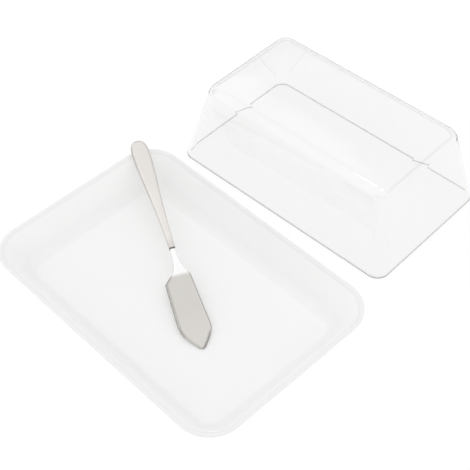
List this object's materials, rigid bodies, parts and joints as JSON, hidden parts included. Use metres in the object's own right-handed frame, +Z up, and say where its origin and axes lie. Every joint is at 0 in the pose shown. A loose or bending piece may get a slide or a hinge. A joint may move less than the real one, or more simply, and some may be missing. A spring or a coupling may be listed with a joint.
{
  "type": "butter box with knife",
  "caption": "Frosted rectangular tray with sloping walls, a clear drafted cover standing beside it, and a broad pointed butter knife that lies in the tray with its handle on the lip.",
  "frame": {"origin": "centre of the tray's flat underside, on the table", "axes": "+X along the tray's long side, +Y from the tray towards the cover, +Z up"},
  "size_m": [0.201, 0.2656, 0.0587],
  "materials": {
    "frosted_plastic": "frosted translucent natural polypropylene, fine matt texture",
    "clear_plastic": "clear glossy moulded polystyrene, colourless",
    "polished_steel": "polished stainless steel with fine lengthwise brushing on the blade",
    "satin_steel": "satin stainless steel"
  },
  "bodies": {
    "tray": {"tray": "frosted_plastic"},
    "cover": {"cover": "clear_plastic"},
    "knife": {"knife_blade": "polished_steel", "knife_handle": "satin_steel"}
  },
  "joints": [
    {"name": "cover_lift", "type": "slide", "parent": "tray", "child": "cover", "axis": [0, 0, 1], "range_m": [0, 0.1]},
    {"name": "knife_lift", "type": "slide", "parent": "tray", "child": "knife", "axis": [0, 0, 1], "range_m": [0, 0.08]}
  ]
}
